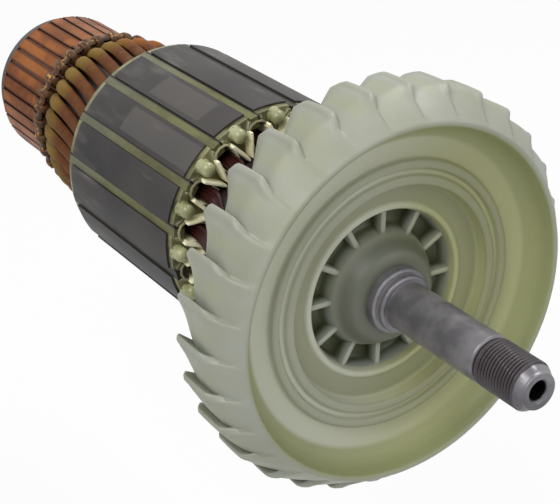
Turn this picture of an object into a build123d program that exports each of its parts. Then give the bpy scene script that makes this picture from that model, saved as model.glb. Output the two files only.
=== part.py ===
"""Armature of a large angle grinder motor: shaft, slotted core, winding, commutator and cooling fan.

The shaft lies along X with its drive end at +X, and Z is up. The origin is on the axis, at the
shoulder that the drive-end bearing sits against. Angles round the axis start at +Z and grow
anticlockwise as seen from the drive end. Lengths are in millimetres.
"""

import os
from math import cos, radians, sin, sqrt, tan

from build123d import *

# Shaft, from the drive end to the rear end
bearing_seat_radius = 5.0
bearing_seat_length = 25.8
relief_width = 0.6
relief_radius = 4.3
thread_radius = 4.9
thread_length = 10.2
thread_lead_in = 0.5
nose_radius = 3.75
nose_length = 0.7
end_chamfer_length = 1.6
centre_hole_radius = 1.9
centre_hole_depth = 6.0
shoulder_ring_radius = 6.1
shoulder_ring_length = 1.6
shaft_body_radius = 7.0
commutator_seat_radius = 6.0
rear_seat_radius = 4.0
rear_seat_length = 9.0
rear_shoulder_radius = 5.2
rear_shoulder_length = 2.4
rear_hole_radius = 1.4
shaft_chamfer = 0.4

# Laminated core and its slots
core_radius = 27.0
core_length = 45.0
core_front_x = -48.5
slot_count = 16
slot_start_angle = 13.2
slot_mouth_width = 2.4
slot_cut_margin = 1.0
slot_top_radius = 25.3
slot_wide_radius = 23.0
slot_floor_radius = 14.0
tooth_width = 3.6

# Paper liners and plastic wedges in the slots
liner_thickness = 0.3
liner_clearance = 0.05
liner_overhang = 1.4
flap_length = 2.3
flap_thickness = 0.4
flap_inner_radius = 19.0
flap_inner_gap = 0.25
wedge_clearance = 0.08
wedge_recess = 0.5
wedge_flange = 1.3

# Moulded plates at the two ends of the core
end_plate_inset = 0.5
front_plate_thickness = 1.6
rear_plate_thickness = 2.0
mouth_lip_width = 0.7
mouth_lip_height = 0.8
knob_radius = 1.85
knob_side_count = 8
knob_inset = 2.0
knob_height = 2.3

# Plastic sleeve between the shaft and the core
sleeve_thickness = 1.6
sleeve_rear_overhang = 26.0

# Winding
coil_clearance = 0.06
coil_bore_clearance = 0.3
coil_overlap = 1.0
coil_valley_depth = 1.6
front_coil_length = 18.0
front_coil_start_radius = 23.0
front_coil_shoulder_radius = 20.8
front_coil_nose_radius = 15.2
rear_coil_length = 22.4
rear_coil_nose_radius = 21.6
lead_radius = 1.0
lead_side_count = 6
lead_length = 7.2

# Commutator
bar_count = 32
bar_start_angle = 7.2
track_radius = 18.9
track_length = 20.0
bar_gap = 0.6
bar_depth = 4.6
riser_height = 0.5
riser_length = 6.6
hook_width = 1.7
hook_height = 1.6
hook_length = 4.2
hook_bevel = 0.6
hook_root = 1.0
undercut_depth = 0.7
collar_length = 4.2
collar_step = 0.3
collar_end_radius = 17.4
moulding_nose_length = 1.6
moulding_nose_radius = 14.2
commutator_gap = 1.5

# Cooling fan: one moulding with a dished plate in front of its blades
blade_count = 30
blade_start_angle = 5.7
blade_thickness = 1.5
blade_lead_angle = 1.2
blade_wrap_angle = 31.2
blade_inner_depth = 6.0
fan_radius = 43.8
fan_edge_drop = 0.5
fan_tip_drop = 1.4
fan_edge_radius = fan_radius - fan_edge_drop
fan_tip_radius = fan_radius - fan_tip_drop
fan_depth = 18.5
blade_barrel = 2.5
tooth_valley_drop = 2.8
tooth_valley_radius = fan_radius - tooth_valley_drop
tooth_wrap_angle = 11.0
tooth_length = 3.6
tooth_foot = 5.0
tooth_drop = 0.6
plate_thickness = 1.9
rim_drop = 5.8
rim_radius = fan_radius - rim_drop
rim_wall = 1.0
rim_height = 5.1
wall_depth = 3.2
dish_depth = 6.6
dish_wall_run = 7.0
dish_bow_run = 3.8
dish_radius = rim_radius - dish_wall_run
dish_bow_radius = rim_radius - dish_bow_run
dish_bow_depth = 5.6
dish_rear_margin = 5.0
dish_rear_radius = dish_radius - dish_rear_margin
shoulder_drop = 2.4
shoulder_radius = fan_radius - shoulder_drop
shoulder_depth = 4.8
ring_margin = 2.6
ring_spacing = 3.5
ring_outer_radius = dish_radius - ring_margin
ring_inner_radius = ring_outer_radius - ring_spacing
blade_inner_margin = 1.2
blade_low_margin = 4.8
blade_slope_rise = 2.1
blade_root_margin = 0.5
blade_inner_radius = dish_radius - blade_inner_margin
blade_low_height = blade_inner_radius - blade_low_margin
blade_slope_height = blade_inner_radius + blade_slope_rise
blade_root_height = rim_radius - blade_root_margin
ring_width = 1.2
ring_height = 1.3
floor_step = 3.2
pocket_radius = 16.8
pocket_depth = 4.5
pocket_count = 12
pocket_start_angle = 29.2
rib_width = 1.7
hub_radius = 11.2
hub_face_x = -3.9
hub_rise = 2.4
hub_lip_radius = 8.0
hub_rear_x = -24.0

# Places that follow from the sizes above
half_slot_pitch = 180 / slot_count
core_rear_x = core_front_x - core_length
core_bore_radius = shaft_body_radius + sleeve_thickness
end_plate_radius = core_radius - end_plate_inset
front_plate_x = core_front_x + front_plate_thickness
rear_plate_x = core_rear_x - rear_plate_thickness
sleeve_rear_x = rear_plate_x - sleeve_rear_overhang
commutator_front_x = sleeve_rear_x - commutator_gap
hook_front_x = commutator_front_x - moulding_nose_length
riser_rear_x = hook_front_x - riser_length
bar_rear_x = riser_rear_x - track_length
commutator_rear_x = bar_rear_x - collar_length
wedge_seat_radius = slot_top_radius - wedge_flange
wedge_top_radius = core_radius - wedge_recess
coil_inset = liner_clearance + liner_thickness + coil_clearance
coil_bore_radius = core_bore_radius + coil_bore_clearance
front_coil_x = front_plate_x + flap_length + coil_clearance
rear_coil_x = rear_plate_x - coil_clearance
riser_radius = track_radius + riser_height
thread_start_x = bearing_seat_length + relief_width
thread_end_x = thread_start_x + thread_length
tip_x = thread_end_x + end_chamfer_length + nose_length
rear_seat_x = commutator_rear_x - rear_shoulder_length
shaft_rear_x = rear_seat_x - rear_seat_length
fan_rim_x = hub_face_x + rim_height
fan_rear_x = fan_rim_x - fan_depth
fan_floor_x = fan_rim_x - dish_depth
ring_top_x = fan_floor_x + ring_height
inner_floor_x = ring_top_x - floor_step
pocket_floor_x = inner_floor_x - pocket_depth
shoulder_x = fan_rim_x - shoulder_depth

os.makedirs("parts", exist_ok=True)


def polar(radius, angle):
    """A point in a plane across the axis, at an angle from straight up."""
    return (-radius * sin(radians(angle)), radius * cos(radians(angle)))


def across(x):
    """The plane across the axis at a station along the shaft."""
    return Plane.YZ.offset(x)


def turns(count, start_angle):
    """Places for a face drawn at the top, turned to each step round the axis."""
    step = 360 / count
    return [Location((0, 0, 0), (0, 0, start_angle + index * step)) for index in range(count)]


def shaft_turns(count, start_angle):
    """Places for a solid made at the top, turned to each step round the shaft."""
    step = 360 / count
    return [Location((0, 0, 0), (start_angle + index * step, 0, 0)) for index in range(count)]


def write(piece, name):
    piece.part.label = name
    export_step(piece.part, f"parts/{name}.step")


def half_width_of_slot(radius):
    """Half of a slot's width, between two teeth with parallel sides."""
    half_pitch = radians(half_slot_pitch)
    return radius * sin(half_pitch) - tooth_width / 2 / cos(half_pitch)


def slot_section(inset=0.0, low=0.0, high=core_radius):
    """Section of the slot at the top of the core, drawn in by an inset, between two radii."""
    right_side = [
        (half_width_of_slot(slot_floor_radius), slot_floor_radius),
        (half_width_of_slot(slot_wide_radius), slot_wide_radius),
        (slot_mouth_width / 2, slot_top_radius),
    ]
    left_side = [(-width, height) for width, height in reversed(right_side)]
    with BuildSketch(mode=Mode.PRIVATE) as section:
        with BuildLine():
            Polyline(*right_side, *left_side, close=True)
        make_face()
        if inset > 0:
            offset(amount=-inset, kind=Kind.INTERSECTION)
        with Locations((0, (low + high) / 2)):
            Rectangle(2 * core_radius, high - low, mode=Mode.INTERSECT)
    return section.sketch


def mouth_section(clearance, low, high):
    """Section of the narrow mouth of the top slot, between two radii."""
    with BuildSketch(mode=Mode.PRIVATE) as section:
        with Locations((0, (low + high) / 2)):
            Rectangle(slot_mouth_width - 2 * clearance, high - low)
    return section.sketch


def revolved_section(points):
    """A solid of revolution about the shaft from stations and radii."""
    with BuildPart(mode=Mode.PRIVATE) as solid:
        with BuildSketch(Plane.XZ):
            with BuildLine():
                Polyline(*points, close=True)
            make_face()
        revolve(axis=Axis.X)
    return solid.part


with BuildPart() as shaft:
    add(
        revolved_section(
            [
                (shaft_rear_x, 0),
                (shaft_rear_x, rear_seat_radius - shaft_chamfer),
                (shaft_rear_x + shaft_chamfer, rear_seat_radius),
                (rear_seat_x, rear_seat_radius),
                (rear_seat_x, rear_shoulder_radius),
                (commutator_rear_x, rear_shoulder_radius),
                (commutator_rear_x, commutator_seat_radius),
                (sleeve_rear_x, commutator_seat_radius),
                (sleeve_rear_x, shaft_body_radius),
                (-shoulder_ring_length, shaft_body_radius),
                (-shoulder_ring_length, shoulder_ring_radius),
                (-shaft_chamfer, shoulder_ring_radius),
                (0, shoulder_ring_radius - shaft_chamfer),
                (0, bearing_seat_radius),
                (bearing_seat_length, bearing_seat_radius),
                (bearing_seat_length, relief_radius),
                (thread_start_x, relief_radius),
                (thread_start_x + thread_lead_in, thread_radius),
                (thread_end_x, thread_radius),
                (thread_end_x + end_chamfer_length, nose_radius),
                (tip_x, nose_radius),
                (tip_x, 0),
            ]
        )
    )
    with BuildSketch(across(tip_x)):
        Circle(centre_hole_radius)
    extrude(amount=-centre_hole_depth, mode=Mode.SUBTRACT)
    with BuildSketch(across(shaft_rear_x)):
        Circle(rear_hole_radius)
    extrude(amount=centre_hole_depth, mode=Mode.SUBTRACT)
write(shaft, "shaft")

with BuildPart() as sleeve:
    with BuildSketch(across(sleeve_rear_x)):
        Circle(core_bore_radius)
        Circle(shaft_body_radius, mode=Mode.SUBTRACT)
    extrude(amount=hub_rear_x - sleeve_rear_x)
write(sleeve, "shaft_insulation_sleeve")

with BuildSketch() as slot_with_mouth:
    add(slot_section())
    add(mouth_section(0, slot_wide_radius, core_radius + slot_cut_margin))

with BuildPart() as core:
    with BuildSketch(across(core_rear_x)):
        Circle(core_radius)
        Circle(core_bore_radius, mode=Mode.SUBTRACT)
        with Locations(*turns(slot_count, slot_start_angle)):
            add(slot_with_mouth.sketch, mode=Mode.SUBTRACT)
    extrude(amount=core_length)
write(core, "lamination_stack")

with BuildPart() as rear_plate:
    with BuildSketch(across(rear_plate_x)):
        Circle(end_plate_radius)
        Circle(core_bore_radius, mode=Mode.SUBTRACT)
        with Locations(*turns(slot_count, slot_start_angle)):
            add(slot_with_mouth.sketch, mode=Mode.SUBTRACT)
    extrude(amount=rear_plate_thickness)
write(rear_plate, "rear_end_insulator")

with BuildSketch() as slot_lip:
    add(slot_section())
    offset(amount=mouth_lip_width, kind=Kind.INTERSECTION)
    add(slot_with_mouth.sketch, mode=Mode.SUBTRACT)
    with Locations((0, slot_floor_radius)):
        Rectangle(
            core_radius,
            2 * (slot_wide_radius + mouth_lip_width - slot_floor_radius),
            mode=Mode.SUBTRACT,
        )

with BuildPart() as front_plate:
    with BuildSketch(across(core_front_x)):
        Circle(end_plate_radius)
        Circle(core_bore_radius, mode=Mode.SUBTRACT)
        with Locations(*turns(slot_count, slot_start_angle)):
            add(slot_with_mouth.sketch, mode=Mode.SUBTRACT)
    extrude(amount=front_plate_thickness)
    with BuildSketch(across(front_plate_x)):
        with Locations(*turns(slot_count, slot_start_angle)):
            add(slot_lip.sketch)
    extrude(amount=mouth_lip_height)
    with BuildSketch(across(front_plate_x)):
        knob_places = turns(slot_count, slot_start_angle + half_slot_pitch)
        with Locations(*[place * Location((0, core_radius - knob_inset)) for place in knob_places]):
            RegularPolygon(knob_radius, knob_side_count)
    extrude(amount=knob_height)
write(front_plate, "front_end_insulator")

liner_top_radius = wedge_seat_radius - liner_thickness
tooth_side = tooth_width / 2 + liner_clearance

with BuildSketch() as liner_section:
    add(slot_section(liner_clearance, high=liner_top_radius))
    add(
        slot_section(liner_clearance + liner_thickness, high=core_radius),
        mode=Mode.SUBTRACT,
    )

with BuildSketch() as flap_section:
    for side in (-1, 1):
        root = (side * (tooth_side + liner_thickness / 2), slot_wide_radius)
        inner = (side * (flap_inner_gap + flap_thickness / 2), flap_inner_radius)
        with BuildLine():
            centre_line = Line(root, inner)
        trace(lines=centre_line, line_width=flap_thickness)

with BuildPart() as liners:
    with BuildSketch(across(rear_plate_x)):
        with Locations(*turns(slot_count, slot_start_angle)):
            add(liner_section.sketch)
    extrude(amount=front_plate_x + liner_overhang - rear_plate_x)
    with BuildSketch(across(front_plate_x)):
        with Locations(*turns(slot_count, slot_start_angle + half_slot_pitch)):
            add(flap_section.sketch)
    extrude(amount=flap_length)
write(liners, "slot_liners")

with BuildSketch() as wedge_section:
    add(slot_section(wedge_clearance, low=wedge_seat_radius))
    add(mouth_section(wedge_clearance, wedge_seat_radius, wedge_top_radius))

for index in range(slot_count):
    with BuildPart() as wedge:
        with BuildSketch(across(rear_plate_x)):
            with Locations(turns(slot_count, slot_start_angle)[index]):
                add(wedge_section.sketch)
        extrude(amount=front_plate_x + mouth_lip_height - rear_plate_x)
    write(wedge, f"slot_wedge_{index + 1:02d}")


def coil_outline(radius):
    """Face across the winding: one lobe over each slot and a valley over each tooth."""
    points = []
    for index in range(slot_count):
        middle = slot_start_angle + index * 2 * half_slot_pitch
        points.append(polar(radius, middle))
        points.append(polar(radius - coil_valley_depth, middle + half_slot_pitch))
    with BuildSketch(mode=Mode.PRIVATE) as outline:
        with BuildLine():
            Polyline(*points, close=True)
        make_face()
    return outline.sketch


def coil_head(stations):
    """Lobed end of the winding, ruled through outlines at stations and radii."""
    with BuildPart(mode=Mode.PRIVATE) as head:
        for x, radius in stations:
            with BuildSketch(across(x)):
                add(coil_outline(radius))
        loft(ruled=True)
    return head.part


with BuildPart() as winding:
    with BuildSketch(across(rear_coil_x - coil_overlap)):
        with Locations(*turns(slot_count, slot_start_angle)):
            add(slot_section(coil_inset, high=wedge_seat_radius - coil_clearance))
    extrude(amount=front_coil_x - rear_coil_x + 2 * coil_overlap)
    add(
        coil_head(
            [
                (front_coil_x, front_coil_start_radius),
                (front_coil_x + front_coil_length / 2, front_coil_shoulder_radius),
                (front_coil_x + front_coil_length, front_coil_nose_radius),
            ]
        )
    )
    add(
        coil_head(
            [
                (rear_coil_x, front_coil_start_radius),
                (rear_coil_x - rear_coil_length, rear_coil_nose_radius),
            ]
        )
    )
    with BuildSketch(across(hook_front_x + coil_clearance)):
        lead_places = turns(bar_count, bar_start_angle)
        with Locations(*[place * Location((0, riser_radius)) for place in lead_places]):
            RegularPolygon(lead_radius, lead_side_count)
    extrude(amount=lead_length)
    with BuildSketch(across(rear_coil_x - rear_coil_length)):
        Circle(coil_bore_radius)
    winding_length = front_coil_x + front_coil_length - rear_coil_x + rear_coil_length
    extrude(amount=winding_length, mode=Mode.SUBTRACT)
write(winding, "winding")

bar_half_pitch = radians(180 / bar_count)
bar_foot_radius = track_radius - bar_depth
moulding_radius = track_radius - undercut_depth
hook_top_radius = riser_radius + hook_height


def bar_half_width(radius):
    """Half of a bar's width, with a parallel gap to the next bar."""
    return radius * tan(bar_half_pitch) - bar_gap / 2 / cos(bar_half_pitch)


def bar_section(outer_radius):
    """Section of the bar at the top of the commutator."""
    foot = bar_half_width(bar_foot_radius)
    edge = bar_half_width(outer_radius)
    corner = sqrt(outer_radius**2 - edge**2)
    with BuildSketch(mode=Mode.PRIVATE) as section:
        with BuildLine():
            Polyline(
                (foot, bar_foot_radius),
                (edge, corner),
                (-edge, corner),
                (-foot, bar_foot_radius),
                close=True,
            )
        make_face()
    return section.sketch


with BuildPart() as top_bar:
    with BuildSketch(across(bar_rear_x)):
        add(bar_section(track_radius))
    extrude(amount=track_length + riser_length)
    with BuildSketch(across(riser_rear_x)):
        add(bar_section(riser_radius))
    extrude(amount=riser_length)
    with BuildSketch(Plane.XZ.offset(-hook_width / 2)):
        with BuildLine():
            Polyline(
                (hook_front_x, track_radius - hook_root),
                (hook_front_x, hook_top_radius - hook_bevel),
                (hook_front_x - hook_bevel, hook_top_radius),
                (hook_front_x - hook_length / 2, hook_top_radius),
                (hook_front_x - hook_length, track_radius - hook_root),
                close=True,
            )
        make_face()
    extrude(amount=hook_width)

for index in range(bar_count):
    with BuildPart() as bar:
        with Locations(shaft_turns(bar_count, bar_start_angle)[index]):
            add(top_bar.part)
    write(bar, f"commutator_bar_{index + 1:02d}")

with BuildSketch() as bar_pocket:
    add(bar_section(track_radius))

with BuildPart() as moulding:
    with BuildSketch(across(bar_rear_x)):
        with Locations(turns(bar_count, bar_start_angle)[0]):
            RegularPolygon(moulding_radius, bar_count, rotation=90)
        Circle(commutator_seat_radius, mode=Mode.SUBTRACT)
        with Locations(*turns(bar_count, bar_start_angle)):
            add(bar_pocket.sketch, mode=Mode.SUBTRACT)
    extrude(amount=track_length + riser_length)
    add(
        revolved_section(
            [
                (commutator_rear_x, commutator_seat_radius),
                (commutator_rear_x, collar_end_radius),
                (bar_rear_x, track_radius - collar_step),
                (bar_rear_x, commutator_seat_radius),
            ]
        )
    )
    add(
        revolved_section(
            [
                (hook_front_x, commutator_seat_radius),
                (hook_front_x, moulding_nose_radius),
                (commutator_front_x, moulding_nose_radius - moulding_nose_length),
                (commutator_front_x, commutator_seat_radius),
            ]
        )
    )
write(moulding, "commutator_moulding")

plate_rear_x = fan_floor_x - plate_thickness
wall_foot_x = fan_rim_x - wall_depth

with BuildPart() as plate:
    add(
        revolved_section(
            [
                (hub_rear_x, shaft_body_radius),
                (hub_rear_x, hub_radius),
                (pocket_floor_x - plate_thickness, hub_radius),
                (pocket_floor_x - plate_thickness, pocket_radius),
                (plate_rear_x, dish_rear_radius),
                (plate_rear_x, dish_radius),
                (wall_foot_x - plate_thickness, rim_radius),
                (shoulder_x - plate_thickness, shoulder_radius),
                (shoulder_x, shoulder_radius),
                (fan_rim_x, rim_radius),
                (fan_rim_x, rim_radius - rim_wall),
                (wall_foot_x, rim_radius - rim_wall),
                (fan_rim_x - dish_bow_depth, dish_bow_radius),
                (fan_floor_x, dish_radius),
                (fan_floor_x, ring_outer_radius),
                (ring_top_x, ring_outer_radius),
                (ring_top_x, ring_outer_radius - ring_width),
                (fan_floor_x, ring_outer_radius - ring_width),
                (fan_floor_x, ring_inner_radius),
                (ring_top_x, ring_inner_radius),
                (ring_top_x, ring_inner_radius - ring_width),
                (inner_floor_x, ring_inner_radius - ring_width),
                (inner_floor_x, hub_radius),
                (hub_face_x - hub_rise, hub_radius),
                (hub_face_x, hub_lip_radius),
                (hub_face_x, shaft_body_radius),
            ]
        )
    )
    with BuildSketch(across(pocket_floor_x)):
        Circle(pocket_radius)
        Circle(hub_radius, mode=Mode.SUBTRACT)
        with Locations(*turns(pocket_count, pocket_start_angle + 180 / pocket_count)):
            with Locations((0, (pocket_radius + hub_radius) / 2)):
                Rectangle(rib_width, pocket_radius, mode=Mode.SUBTRACT)
    extrude(amount=pocket_depth, mode=Mode.SUBTRACT)

blade_outer_end = Vector(*polar(fan_radius, blade_lead_angle))
blade_inner_end = Vector(*polar(blade_inner_radius, blade_wrap_angle))
blade_run = (blade_outer_end - blade_inner_end).normalized()
tooth_face_x = shoulder_x - tooth_drop

with BuildSketch() as blade_section:
    with BuildLine():
        centre_line = Line(blade_inner_end, blade_outer_end + blade_run * blade_thickness)
    trace(lines=centre_line, line_width=blade_thickness)

with BuildSketch() as tooth_section:
    with BuildLine():
        Polyline(
            blade_outer_end,
            polar(tooth_valley_radius, tooth_wrap_angle),
            blade_outer_end - blade_run * tooth_foot,
            close=True,
        )
    make_face()

with BuildPart() as top_blade:
    with BuildSketch(across(fan_rear_x)):
        add(blade_section.sketch)
    extrude(amount=fan_depth)
    with BuildSketch(across(shoulder_x - tooth_length)):
        add(tooth_section.sketch)
    extrude(amount=tooth_length)
    with BuildSketch(Plane.XZ):
        with BuildLine():
            Polyline(
                (fan_rear_x, blade_slope_height),
                (plate_rear_x - blade_inner_depth, blade_low_height),
                (plate_rear_x + plate_thickness / 2, blade_low_height),
                (plate_rear_x + plate_thickness / 2, blade_inner_radius),
                (wall_foot_x - plate_thickness / 2, blade_root_height),
                (tooth_face_x + tooth_drop, shoulder_radius - tooth_drop),
                (tooth_face_x - (fan_radius - shoulder_radius), fan_radius),
                (fan_rear_x + blade_barrel, fan_edge_radius),
                (fan_rear_x, fan_tip_radius),
                close=True,
            )
        make_face()
    extrude(amount=fan_radius, both=True, mode=Mode.INTERSECT)

with BuildPart() as fan:
    add(plate.part)
    with Locations(*shaft_turns(blade_count, blade_start_angle)):
        add(top_blade.part)
write(fan, "cooling_fan")
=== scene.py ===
# %% [markdown]
# A motor armature, dressed for its picture. The packed model already holds every piece at its real
# size, so this script only adds what a mould, a lathe and a winding machine leave behind: rounded
# edges, a real thread, separate wires, varnish and wear. Everything is in metres, with +X along the
# shaft to the threaded end and +Z up. Sizes are written in millimetres, and MM turns them into metres.

# %% Load the fixed frame
import random
from math import atan2, cos, degrees, pi, radians, sin, sqrt

import bmesh
import bpy
from mathutils import Matrix, Vector


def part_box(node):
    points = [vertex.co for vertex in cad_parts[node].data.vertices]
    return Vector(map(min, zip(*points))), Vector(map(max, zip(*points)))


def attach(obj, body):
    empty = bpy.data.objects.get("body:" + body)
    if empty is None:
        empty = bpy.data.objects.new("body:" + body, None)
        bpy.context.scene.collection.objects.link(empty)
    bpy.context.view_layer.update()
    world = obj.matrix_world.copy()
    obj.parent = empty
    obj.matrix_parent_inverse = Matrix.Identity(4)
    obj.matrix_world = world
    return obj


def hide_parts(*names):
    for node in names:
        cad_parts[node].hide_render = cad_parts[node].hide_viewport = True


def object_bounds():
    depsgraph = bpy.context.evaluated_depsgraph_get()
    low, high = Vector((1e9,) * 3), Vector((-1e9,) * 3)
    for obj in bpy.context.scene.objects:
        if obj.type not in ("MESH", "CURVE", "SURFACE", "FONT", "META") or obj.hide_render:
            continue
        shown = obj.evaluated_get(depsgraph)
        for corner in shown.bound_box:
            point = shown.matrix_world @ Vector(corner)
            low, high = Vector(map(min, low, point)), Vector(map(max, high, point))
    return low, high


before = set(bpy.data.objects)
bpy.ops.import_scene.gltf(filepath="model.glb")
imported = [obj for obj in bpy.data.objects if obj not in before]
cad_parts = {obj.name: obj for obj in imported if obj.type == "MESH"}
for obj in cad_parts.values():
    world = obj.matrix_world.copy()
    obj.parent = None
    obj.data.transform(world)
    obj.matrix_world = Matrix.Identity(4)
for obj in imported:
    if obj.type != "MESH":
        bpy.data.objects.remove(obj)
cad_low, cad_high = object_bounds()
MM = 0.001
print("model", [round(v / MM, 1) for v in cad_low], [round(v / MM, 1) for v in cad_high])

# %% [markdown]
# The photograph was taken from in front of the drive end, a little above it and to one side, through
# a long lens. The camera's three directions are written as vectors and not as angles, because they
# were found by fitting circles of known size, such as the fan's rim and the core, to the picture.

# %% Camera
CAMERA_PLACE = Vector((212.5, -166.9, 142.6)) * MM
CAMERA_RIGHT = Vector((0.5427, 0.8400, 0.0))
CAMERA_UP = Vector((-0.3675, 0.2374, 0.8992))
LENS = 99.84
SENSOR_WIDTH = 36.0

camera_data = bpy.data.cameras.new("camera")
camera_data.lens = LENS
camera_data.sensor_width = SENSOR_WIDTH
camera_data.clip_start = 10 * MM
camera = bpy.data.objects.new("camera", camera_data)
bpy.context.scene.collection.objects.link(camera)
camera_back = CAMERA_RIGHT.cross(CAMERA_UP)
camera.matrix_world = Matrix.Translation(CAMERA_PLACE) @ Matrix(
    (CAMERA_RIGHT, CAMERA_UP, camera_back)
).transposed().to_4x4()
bpy.context.scene.camera = camera
bpy.context.scene.view_settings.view_transform = "Standard"
print("camera looks along", [round(v, 3) for v in -camera_back])

# %% [markdown]
# A material is a sum of small decisions, such as darker in the slots or shinier on the crests. They
# are easiest to read as arithmetic, so a number that changes over the surface is wrapped in a class
# whose operators add Math nodes.


# %% A number that changes over the surface
class Number:
    """A socket of a node tree that can be used in sums."""

    def __init__(self, graph, socket):
        self.graph = graph
        self.socket = socket

    def math(self, operation, *others):
        inputs = {i: v for i, v in enumerate((self, *others))}
        node = self.graph.node("ShaderNodeMath", {"operation": operation}, inputs)
        return Number(self.graph, node.outputs[0])

    def __add__(self, other):
        return self.math("ADD", other)

    __radd__ = __add__

    def __mul__(self, other):
        return self.math("MULTIPLY", other)

    __rmul__ = __mul__

    def __sub__(self, other):
        return self.math("SUBTRACT", other)

    def __rsub__(self, other):
        return self * -1 + other

    def __truediv__(self, other):
        return self.math("DIVIDE", other)

    def size(self):
        """The number without its sign."""
        return self.math("ABSOLUTE")

    def wrap(self, low, high):
        """The number brought between low and high by whole turns."""
        return self.math("WRAP", high, low)

    def rise(self, low, high):
        """0 below low, 1 above high, and a smooth step between them."""
        node = self.graph.node(
            "ShaderNodeMapRange",
            {"interpolation_type": "SMOOTHSTEP"},
            {"Value": self, "From Min": low, "From Max": high},
        )
        return Number(self.graph, node.outputs["Result"])

    def band(self, low, high, soft):
        """1 between low and high, with soft edges."""
        return self.rise(low - soft, low + soft) * (1 - self.rise(high - soft, high + soft))


print("a number can be", [name for name in vars(Number) if not name.startswith("_")])

# %% [markdown]
# Any other node comes from one method, which first says what kind of node it is and then fills in its
# sockets. It serves shaders and the trees that make shapes. Colours are written as a screen shows
# them, from 0 to 255, because that is how they are read off a picture.


# %% Colours and node trees
def linear(red, green, blue):
    """A colour as a screen shows it, as the light that a shader needs."""
    return tuple(
        (v / 255 / 12.92) if v <= 10 else ((v / 255 + 0.055) / 1.055) ** 2.4
        for v in (red, green, blue)
    ) + (1.0,)


class Graph:
    """A node tree of any kind."""

    def __init__(self, tree):
        self.tree = tree

    def node(self, kind, settings=None, inputs=None):
        """Any node: its settings first, then the values or links of its sockets."""
        node = self.tree.nodes.new(kind)
        for setting, value in (settings or {}).items():
            setattr(node, setting, value)
        for socket, value in (inputs or {}).items():
            self.fill(node.inputs[socket], value)
        return node

    def fill(self, socket, value):
        """Links a socket to a number or another socket, or sets it to a plain value."""
        if isinstance(value, Number):
            value = value.socket
        if isinstance(value, bpy.types.NodeSocket):
            self.tree.links.new(value, socket)
        else:
            socket.default_value = value


print("white is", linear(255, 255, 255))

# %% [markdown]
# A finish is one principled shader and what feeds it. What never changes is set on its sockets. The
# rest is painted on in coats, as on a real part: a first colour, then dust, resin or tarnish, each
# with a share that says where it lies and how thick. Some coats paint light and shade instead: a
# paler lit side, shade in hollows and gaps, and glints.


# %% A finish and its coats
class Finish(Graph):
    """A material with one principled shader and the nodes that feed it."""

    def __init__(self, name, **fixed):
        self.material = bpy.data.materials.new(name)
        self.material.use_nodes = True
        super().__init__(self.material.node_tree)
        self.shader = self.tree.nodes["Principled BSDF"]
        self.sockets = {socket.name.lower(): socket for socket in self.shader.inputs}
        self.wear(**fixed)

    def wear(self, **sockets):
        """Sets the shader's sockets by name, or links them to what varies over the surface."""
        for name, value in sockets.items():
            self.fill(self.sockets[name.replace("_", " ")], value)

    def place(self):
        """Distance along the shaft, distance from it and angle round it, in mm and degrees."""
        coordinates = self.node("ShaderNodeTexCoord").outputs["Object"]
        parts = self.node("ShaderNodeSeparateXYZ", inputs={0: coordinates}).outputs
        x, y, z = (Number(self, parts[i]) * 1000 for i in range(3))
        radius = (y * y + z * z).math("SQRT")
        angle = (y * -1).math("ARCTAN2", z) * (180 / pi)
        return x, radius, angle

    def noise(self, per_metre, detail=3.0, stretch=(1, 1, 1)):
        """Soft blotches, from 0 to 1, with so many to the metre."""
        coordinates = self.node("ShaderNodeTexCoord").outputs["Object"]
        scaled = self.node("ShaderNodeMapping", inputs={"Vector": coordinates, "Scale": stretch})
        inputs = {"Vector": scaled.outputs[0], "Scale": per_metre, "Detail": detail, "Roughness": 0.55}
        return Number(self, self.node("ShaderNodeTexNoise", inputs=inputs).outputs["Fac"])

    def mix(self, share, first, second):
        """One colour turning into another as share goes from 0 to 1."""
        node = self.node("ShaderNodeMix", {"data_type": "RGBA"}, {"Factor": share})
        self.fill(node.inputs[6], first)
        self.fill(node.inputs[7], second)
        return node.outputs[2]

    def paint(self, base, *coats):
        """A colour with coats laid over it in turn, each a share and a colour."""
        for share, colour in coats:
            base = self.mix(share, base, colour)
        return base

    def bump(self, height, depth_mm):
        """Fine relief: a height from 0 to 1, so many millimetres deep."""
        node = self.node("ShaderNodeBump", inputs={"Height": height, "Distance": depth_mm * MM})
        self.fill(self.shader.inputs["Normal"], node.outputs[0])


print("a finish can", [name for name in vars(Finish) if not name.startswith("_")])

# %% [markdown]
# The numbers below belong to the real part and are used by both its finishes and its pieces: where
# the slots, the commutator bars and the fan's blades start round the shaft, and how many there are.
# Angles are counted from the top, anticlockwise as seen from the threaded end.

# %% Angles that repeat
SLOTS = 16
SLOT_STEP = 360 / SLOTS
SLOT_START = 13.2
TOOTH_START = SLOT_START + SLOT_STEP / 2
BARS = 32
BAR_STEP = 360 / BARS
BAR_START = 7.2
BLADES = 30
BLADE_STEP = 360 / BLADES
BLADE_START = 5.7
print("a slot every", SLOT_STEP, "a bar every", BAR_STEP, "a blade every", BLADE_STEP, "degrees")

# %% [markdown]
# Where a packed piece starts and ends is read off the piece, so that a finish or a new shape still fits
# if the piece changes. Points are placed as on a lathe: so far along, so far out, turned by so much.


# %% Places on the packed pieces
def across_shaft(radius, angle):
    """A point of a section across the shaft, from its radius and its angle in degrees."""
    return Vector((-radius * sin(radians(angle)), radius * cos(radians(angle))))


def turned(x, radius, angle):
    """A point from its place along the shaft in mm, its radius in mm and its angle in degrees."""
    return Vector((x, *across_shaft(radius, angle))) * MM


def node_span(name):
    """First and last place along the shaft and greatest radius of a packed piece, in mm."""
    low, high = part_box(name)
    return low.x / MM, high.x / MM, max(high.y, high.z, -low.y, -low.z) / MM


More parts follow.
